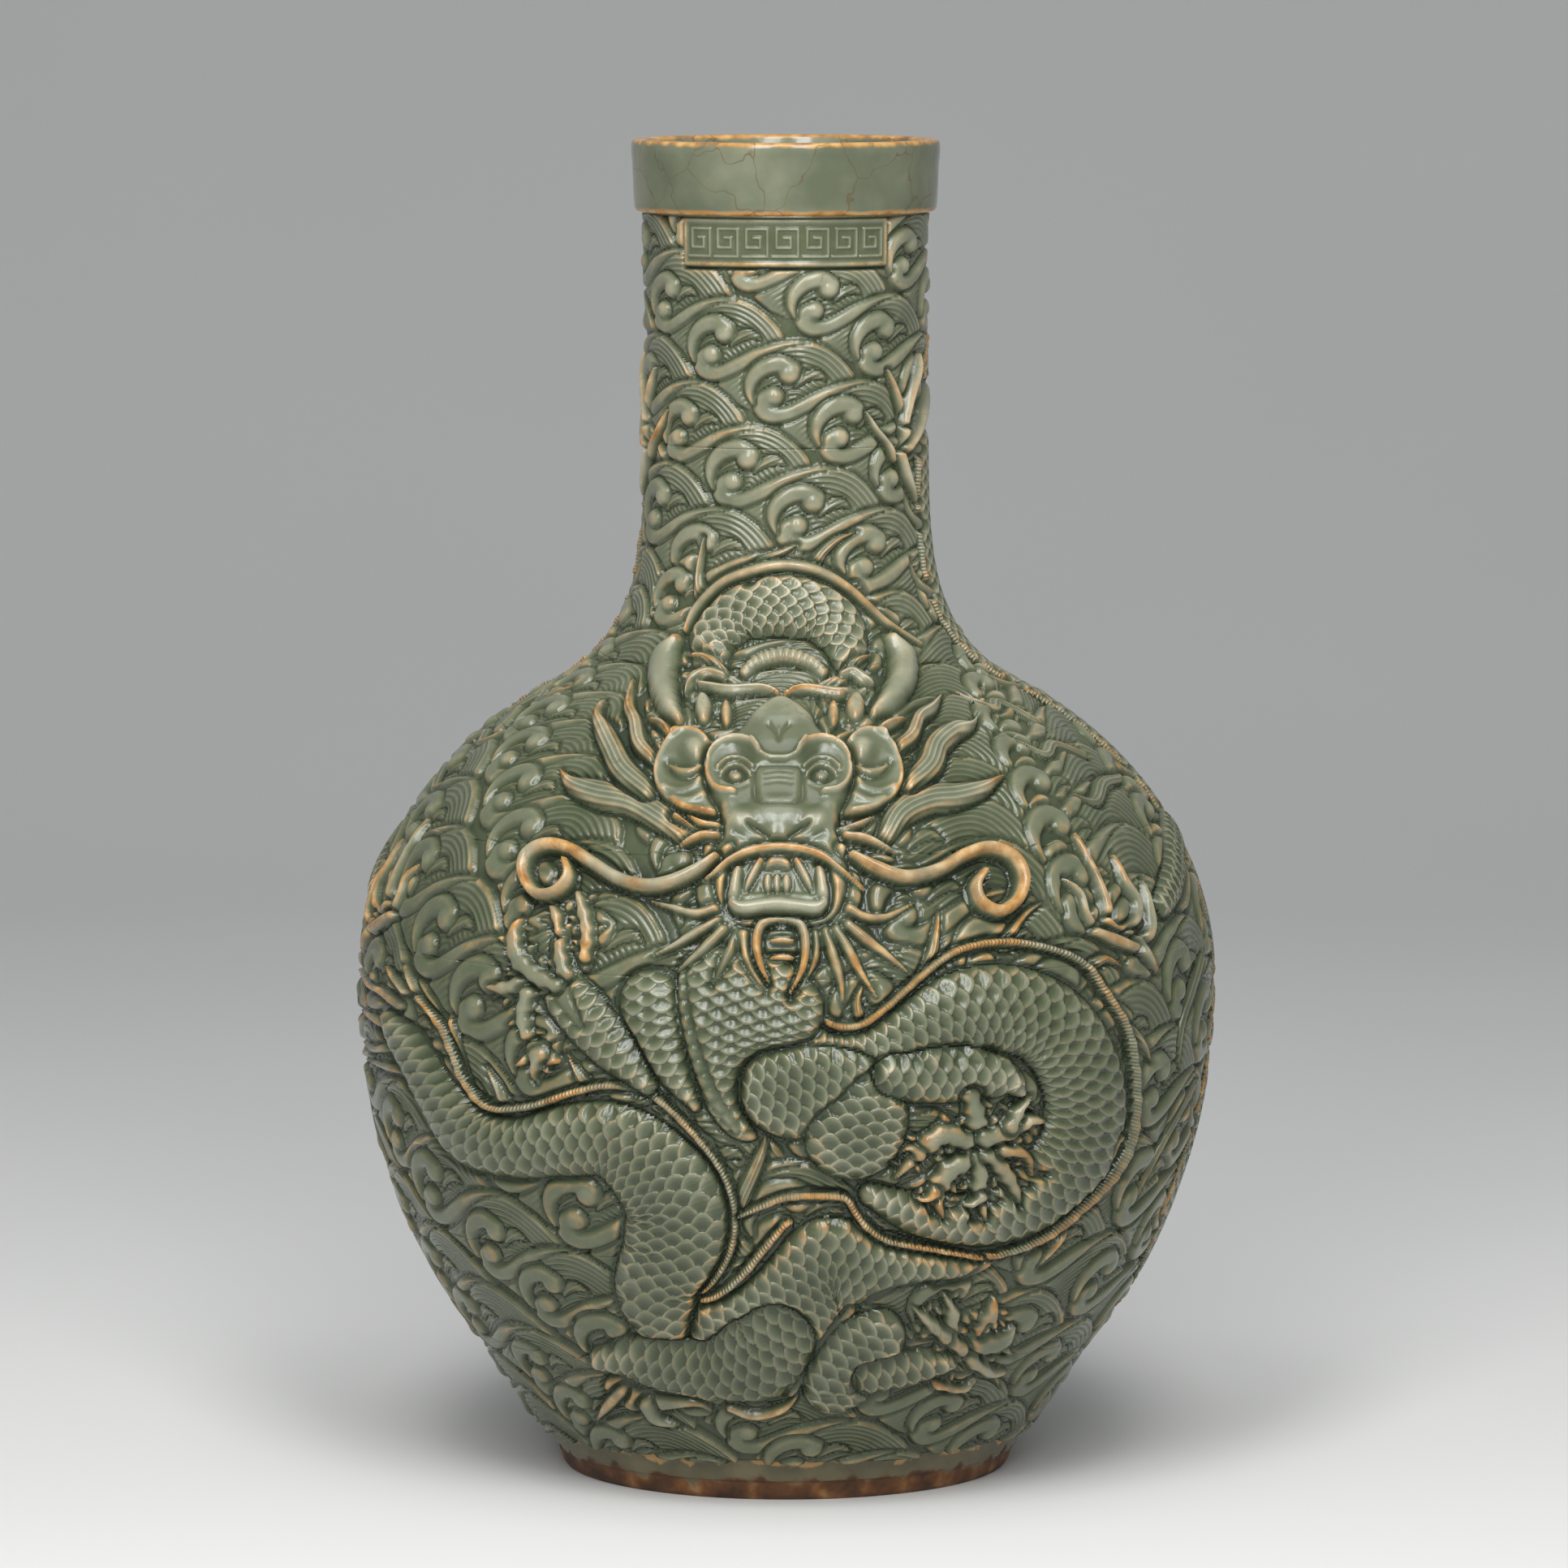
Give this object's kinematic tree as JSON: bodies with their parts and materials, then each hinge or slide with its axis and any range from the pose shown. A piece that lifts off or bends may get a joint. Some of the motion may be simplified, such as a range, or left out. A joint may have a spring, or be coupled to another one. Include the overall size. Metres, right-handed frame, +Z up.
{
  "type": "celestial globe vase",
  "caption": "Celadon celestial globe vase: round belly, tall straight neck and thick rim, carved with dragons in relief.",
  "frame": {"origin": "centre of the foot, on the surface that the vase stands on", "axes": "+Z up along the axis of the vase, the front dragon's face towards -Y, +X to the viewer's right"},
  "size_m": [0.2645, 0.2718, 0.408],
  "materials": {
    "celadon_glaze": "grey-green crackled celadon glaze, glossy",
    "dragon_glaze": "pale celadon glaze over relief, thin and orange-brown on the crisp edges, glossy",
    "iron_foot_glaze": "thin brown glaze over iron-rich body, semi-matt at the bare edge"
  },
  "bodies": {
    "root": {"back_dragon_arch": "dragon_glaze", "back_dragon_beard": "dragon_glaze", "back_dragon_chest": "dragon_glaze", "back_dragon_head": "dragon_glaze", "back_dragon_hip": "dragon_glaze", "back_dragon_left_claw": "dragon_glaze", "back_dragon_left_coil": "dragon_glaze", "back_dragon_left_foreleg": "dragon_glaze", "back_dragon_left_hind_leg": "dragon_glaze", "back_dragon_left_mane": "dragon_glaze", "back_dragon_left_whisker": "dragon_glaze", "back_dragon_right_claw": "dragon_glaze", "back_dragon_right_coil": "dragon_glaze", "back_dragon_right_foreleg": "dragon_glaze", "back_dragon_right_hind_claw": "dragon_glaze", "back_dragon_right_hind_leg": "dragon_glaze", "back_dragon_right_mane": "dragon_glaze", "back_dragon_right_thigh": "dragon_glaze", "back_dragon_right_whisker": "dragon_glaze", "belly_ring": "celadon_glaze", "floor_slab": "iron_foot_glaze", "foot_ring": "iron_foot_glaze", "front_dragon_arch": "dragon_glaze", "front_dragon_beard": "dragon_glaze", "front_dragon_chest": "dragon_glaze", "front_dragon_head": "dragon_glaze", "front_dragon_hip": "dragon_glaze", "front_dragon_left_claw": "dragon_glaze", "front_dragon_left_coil": "dragon_glaze", "front_dragon_left_ear": "dragon_glaze", "front_dragon_left_foreleg": "dragon_glaze", "front_dragon_left_hind_leg": "dragon_glaze", "front_dragon_left_horn": "dragon_glaze", "front_dragon_left_mane": "dragon_glaze", "front_dragon_left_whisker": "dragon_glaze", "front_dragon_right_claw": "dragon_glaze", "front_dragon_right_coil": "dragon_glaze", "front_dragon_right_ear": "dragon_glaze", "front_dragon_right_foreleg": "dragon_glaze", "front_dragon_right_hind_claw": "dragon_glaze", "front_dragon_right_hind_leg": "dragon_glaze", "front_dragon_right_horn": "dragon_glaze", "front_dragon_right_mane": "dragon_glaze", "front_dragon_right_thigh": "dragon_glaze", "front_dragon_right_whisker": "dragon_glaze", "left_dragon_belly_claw": "dragon_glaze", "left_dragon_belly_coil": "dragon_glaze", "left_dragon_head": "dragon_glaze", "left_dragon_neck_claw": "dragon_glaze", "left_dragon_neck_coil": "dragon_glaze", "lower_bowl": "celadon_glaze", "mark_tablet": "celadon_glaze", "mouth_rim": "celadon_glaze", "neck_tube": "celadon_glaze", "right_dragon_belly_claw": "dragon_glaze", "right_dragon_belly_coil": "dragon_glaze", "right_dragon_head": "dragon_glaze", "right_dragon_neck_claw": "dragon_glaze", "right_dragon_neck_coil": "dragon_glaze", "shoulder_dome": "celadon_glaze"}
  },
  "joints": []
}
